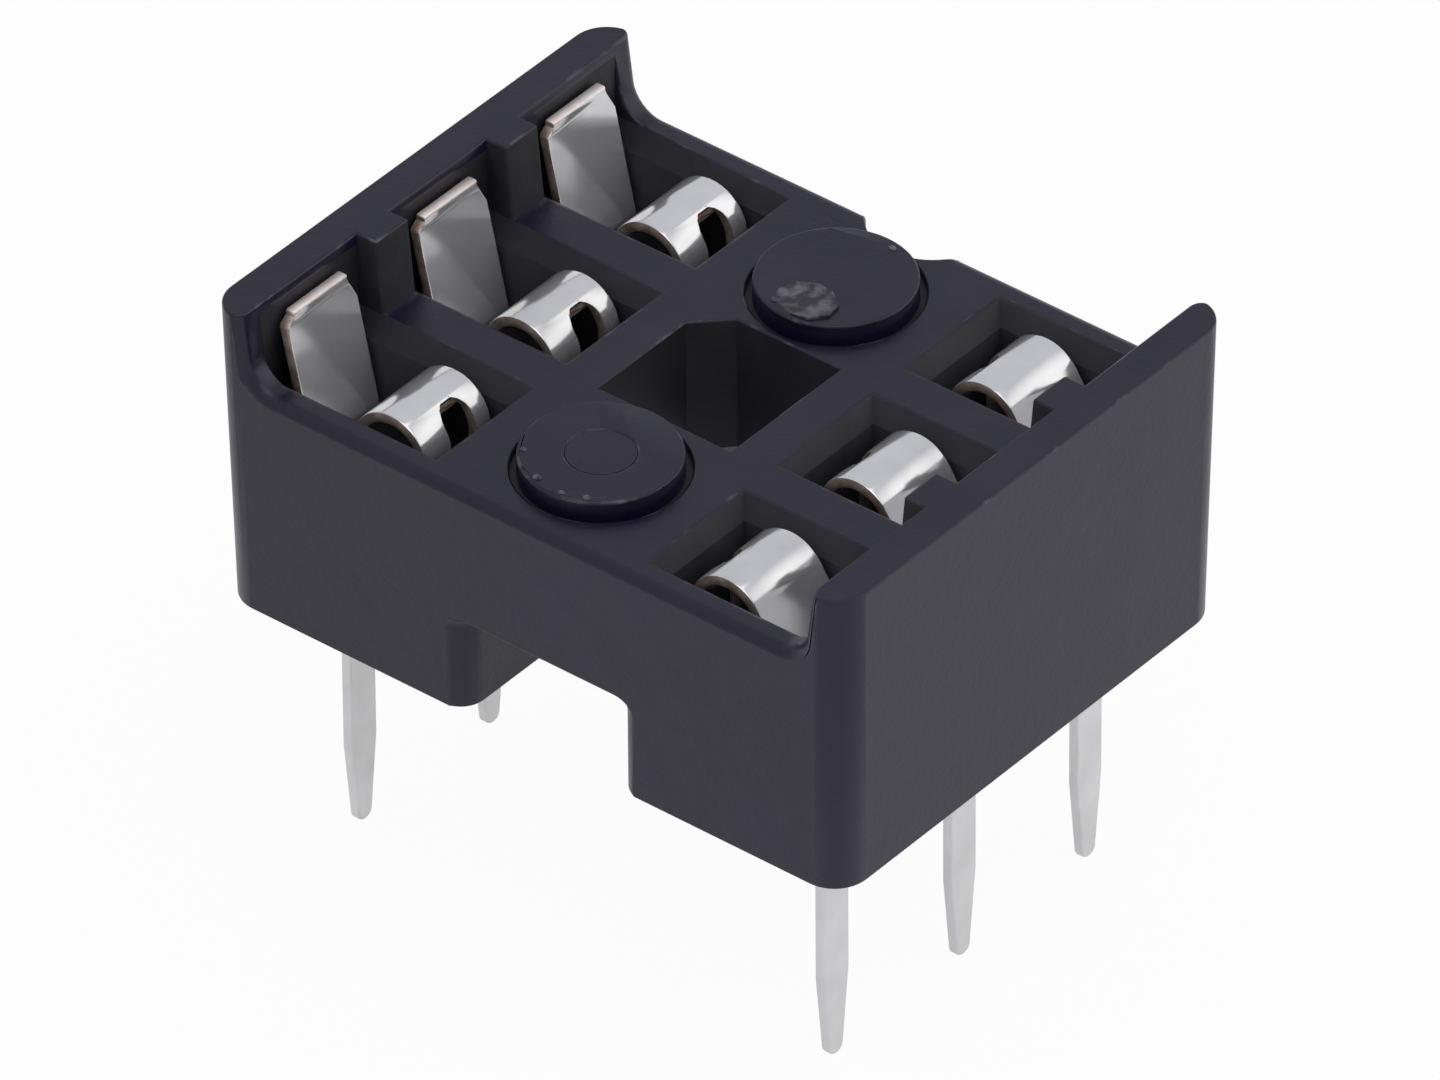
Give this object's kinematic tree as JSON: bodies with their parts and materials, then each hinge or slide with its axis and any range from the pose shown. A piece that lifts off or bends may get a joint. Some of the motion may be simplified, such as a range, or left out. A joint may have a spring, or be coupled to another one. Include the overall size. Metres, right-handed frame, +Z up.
{
  "type": "dip socket",
  "caption": "Through-hole socket for a dual in-line chip: moulded open-deck housing with low side walls, round chip pads and stamped spring contacts with flat solder tails.",
  "frame": {"origin": "on the board's surface, midway between the two rows of solder tails and midway along them", "axes": "+X across the rows, +Y along the rows towards the notched end, +Z up, away from the board"},
  "size_m": [0.01, 0.0078, 0.0083],
  "materials": {
    "housing": "moulded satin",
    "contact": "satin tin plate over copper alloy"
  },
  "bodies": {
    "root": {"housing": "housing", "contact_left_1": "contact", "contact_left_2": "contact", "contact_left_3": "contact", "contact_right_1": "contact", "contact_right_2": "contact", "contact_right_3": "contact"}
  },
  "joints": []
}
